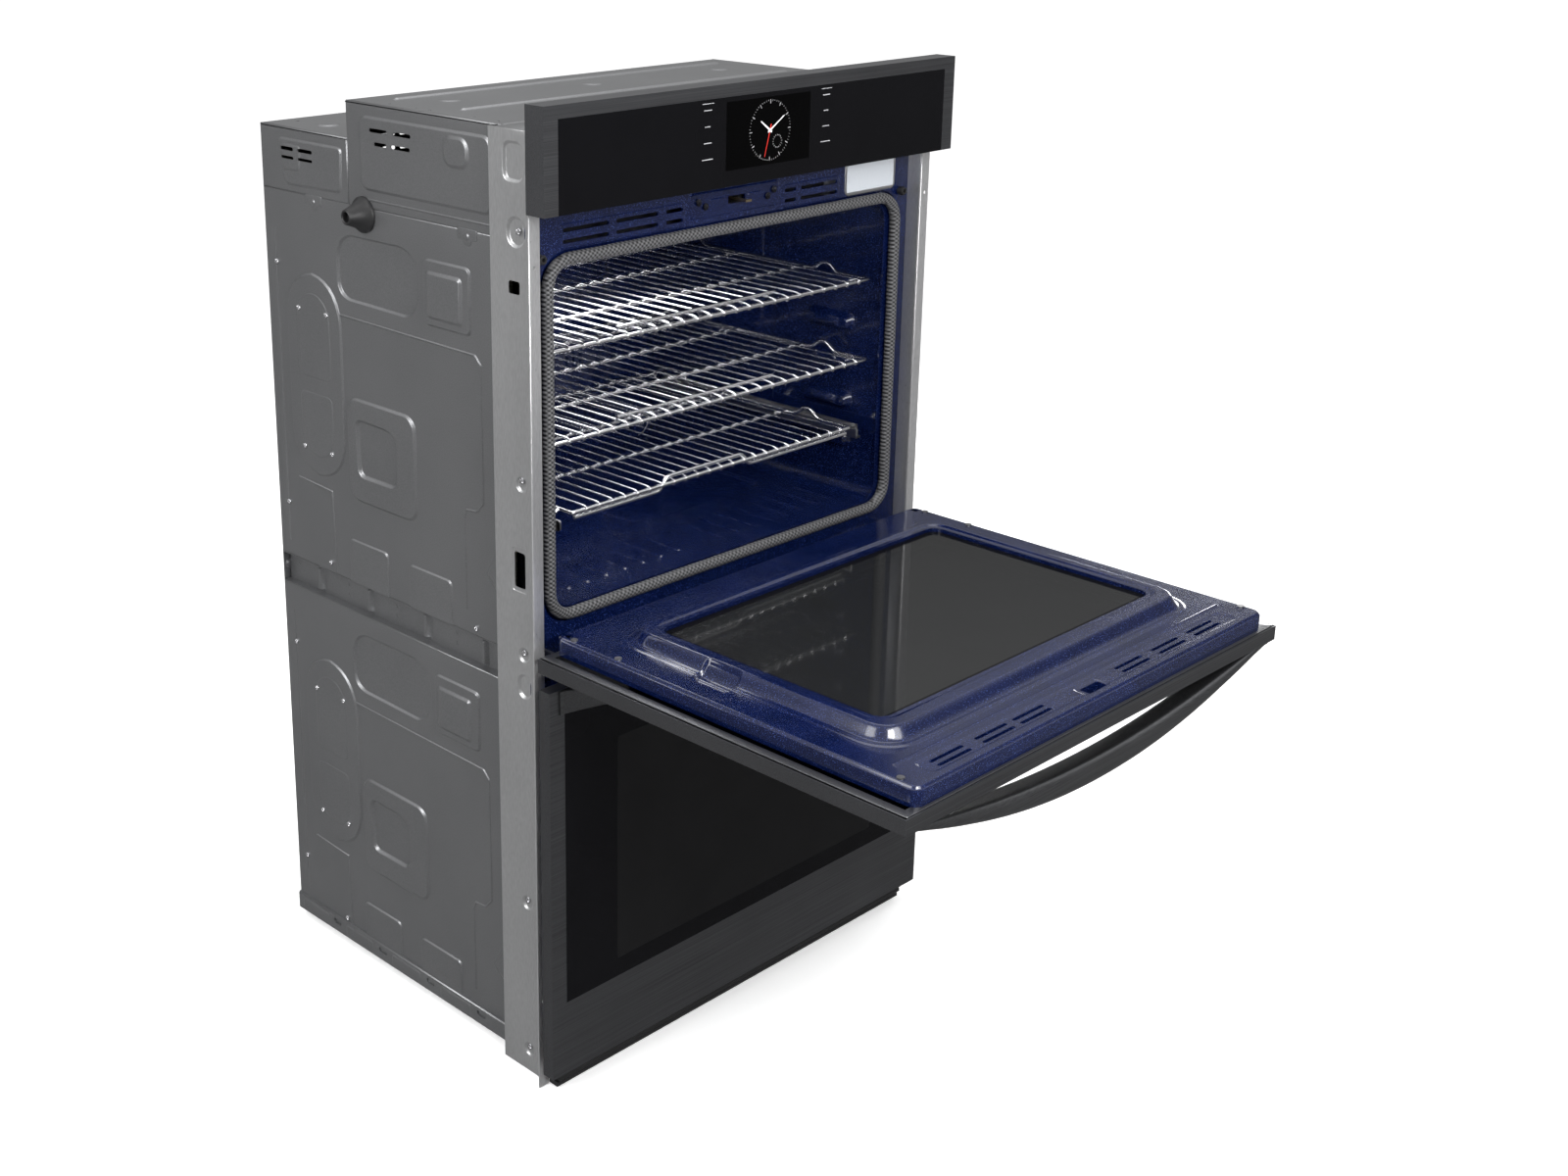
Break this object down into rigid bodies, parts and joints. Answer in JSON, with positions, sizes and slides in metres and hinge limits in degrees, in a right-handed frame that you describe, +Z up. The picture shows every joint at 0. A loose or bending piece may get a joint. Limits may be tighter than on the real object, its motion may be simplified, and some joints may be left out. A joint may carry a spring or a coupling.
{
  "type": "double wall oven",
  "caption": "Built-in double wall oven: dark steel and glass drop-down doors, blue enamel cavities with wire racks, galvanised casing and a glass control panel.",
  "frame": {"origin": "middle of the base pan's underside, in the plane of the mounting flanges' back faces", "axes": "+X right seen from the front, +Y towards the back of the cabinet, +Z up"},
  "size_m": [0.756, 1.173, 1.301],
  "materials": {
    "galvanised": "zinc-coated sheet, satin",
    "trim_steel": "zinc-coated mounting strip, brighter front flange",
    "dark_steel": "dark brushed stainless with a clear coat",
    "black_glass": "black-backed tempered glass, polished",
    "clear_glass": "heat-reflective pane",
    "blue_enamel": "speckled porcelain enamel, glossy",
    "chrome": "polished wire",
    "rail_steel": "bright slide rail",
    "gasket": "woven glass-fibre sleeve",
    "rubber": "moulded black rubber",
    "bright_screw": "zinc-plated",
    "hinge_steel": "plain plated steel",
    "wool": "glass wool",
    "element": "oxidised sheath",
    "board": "circuit board",
    "black_plastic": "fine satin",
    "display": "lit display behind glass",
    "face_metal": "brushed reservoir face",
    "tank": "frosted tank",
    "lamp": "lamp cover"
  },
  "bodies": {
    "cabinet": {"side_panels": "galvanised", "mid_rails": "galvanised", "top_cover": "galvanised", "rear_deck_cover": "galvanised", "back_panel": "galvanised", "base_pan": "galvanised", "inner_shelves": "galvanised", "side_trims": "trim_steel", "trim_screws": "bright_screw", "lower_front_frame": "blue_enamel", "upper_front_frame": "blue_enamel", "upper_cavity": "blue_enamel", "lower_cavity": "blue_enamel", "gaskets": "gasket", "front_bumpers": "rubber", "insulation": "wool", "fan_covers": "blue_enamel", "fan_motors": "hinge_steel", "heating_elements": "element", "oven_lamps": "lamp", "lower_racks": "chrome", "glide_rails_fixed": "rail_steel", "reservoir_sleeve": "tank", "latch_plates": "blue_enamel", "latch_motors": "hinge_steel", "cooling_blower_housing": "galvanised", "control_panel_frame": "dark_steel", "control_panel_glass": "black_glass", "touch_display": "display", "control_board": "board", "side_access_covers": "galvanised", "side_grommet": "rubber", "lower_vent_trim": "black_plastic", "hinge_arms": "hinge_steel", "hinge_receivers": "hinge_steel"},
    "top_rack": {"upper_top_rack": "chrome"},
    "middle_rack": {"upper_middle_rack": "chrome"},
    "glide_rack": {"glide_rack": "chrome"},
    "glide_rails": {"glide_rails_middle": "rail_steel"},
    "reservoir": {"reservoir_face": "face_metal", "reservoir_tank": "tank"},
    "upper_fan": {"upper_convection_fan": "hinge_steel"},
    "lower_fan": {"lower_convection_fan": "hinge_steel"},
    "blower": {"cooling_blower_wheel": "hinge_steel"},
    "upper_latch": {"upper_latch_hook": "hinge_steel"},
    "lower_latch": {"lower_latch_hook": "hinge_steel"},
    "upper_door": {"upper_door_frame": "dark_steel", "upper_door_glass": "black_glass", "upper_door_liner": "blue_enamel", "upper_door_inner_panes": "clear_glass", "upper_door_pane_frame": "hinge_steel", "upper_door_handle": "dark_steel", "upper_door_hinges": "hinge_steel"},
    "lower_door": {"lower_door_frame": "dark_steel", "lower_door_glass": "black_glass", "lower_door_liner": "blue_enamel", "lower_door_inner_panes": "clear_glass", "lower_door_pane_frame": "hinge_steel", "lower_door_handle": "dark_steel", "lower_door_hinges": "hinge_steel"}
  },
  "joints": [
    {"name": "upper_door_hinge", "type": "hinge", "parent": "cabinet", "child": "upper_door", "pos_m": [0, -0.027, 0.602], "axis": [-1, 0, 0], "range_deg": [0, 90], "stiffness_Nm_per_rad": 7.6, "springref_deg": 150.69},
    {"name": "lower_door_hinge", "type": "hinge", "parent": "cabinet", "child": "lower_door", "pos_m": [0, -0.027, 0.034], "axis": [1, 0, 0], "range_deg": [0, 90], "stiffness_Nm_per_rad": 7.6, "springref_deg": -60.16},
    {"name": "top_rack_slide", "type": "slide", "parent": "cabinet", "child": "top_rack", "axis": [0, 1, 0], "range_m": [-0.28, 0]},
    {"name": "middle_rack_slide", "type": "slide", "parent": "cabinet", "child": "middle_rack", "axis": [0, 1, 0], "range_m": [-0.28, 0]},
    {"name": "glide_rack_slide", "type": "slide", "parent": "cabinet", "child": "glide_rack", "axis": [0, 1, 0], "range_m": [-0.3, 0]},
    {"name": "glide_rails_slide", "type": "slide", "parent": "cabinet", "child": "glide_rails", "axis": [0, 1, 0], "range_m": [-0.15, 0]},
    {"name": "reservoir_slide", "type": "slide", "parent": "cabinet", "child": "reservoir", "axis": [0, 1, 0], "range_m": [-0.16, 0]},
    {"name": "upper_latch_turn", "type": "hinge", "parent": "cabinet", "child": "upper_latch", "pos_m": [0, 0.045, 1.133], "axis": [0, 0, 1], "range_deg": [0, 12]},
    {"name": "lower_latch_turn", "type": "hinge", "parent": "cabinet", "child": "lower_latch", "pos_m": [0, 0.045, 0.55], "axis": [0, 0, 1], "range_deg": [0, 12]},
    {"name": "upper_fan_spin", "type": "hinge", "parent": "cabinet", "child": "upper_fan", "pos_m": [0, 0.478, 0.87], "axis": [0, 1, 0], "continuous": true},
    {"name": "lower_fan_spin", "type": "hinge", "parent": "cabinet", "child": "lower_fan", "pos_m": [0, 0.478, 0.302], "axis": [0, 1, 0], "continuous": true},
    {"name": "blower_spin", "type": "hinge", "parent": "cabinet", "child": "blower", "pos_m": [0, 0.21, 1.176], "axis": [1, 0, 0], "continuous": true}
  ],
  "couplings": [
    {"joint": "glide_rails_slide", "follows": "glide_rack_slide", "ratio": 0.5}
  ]
}
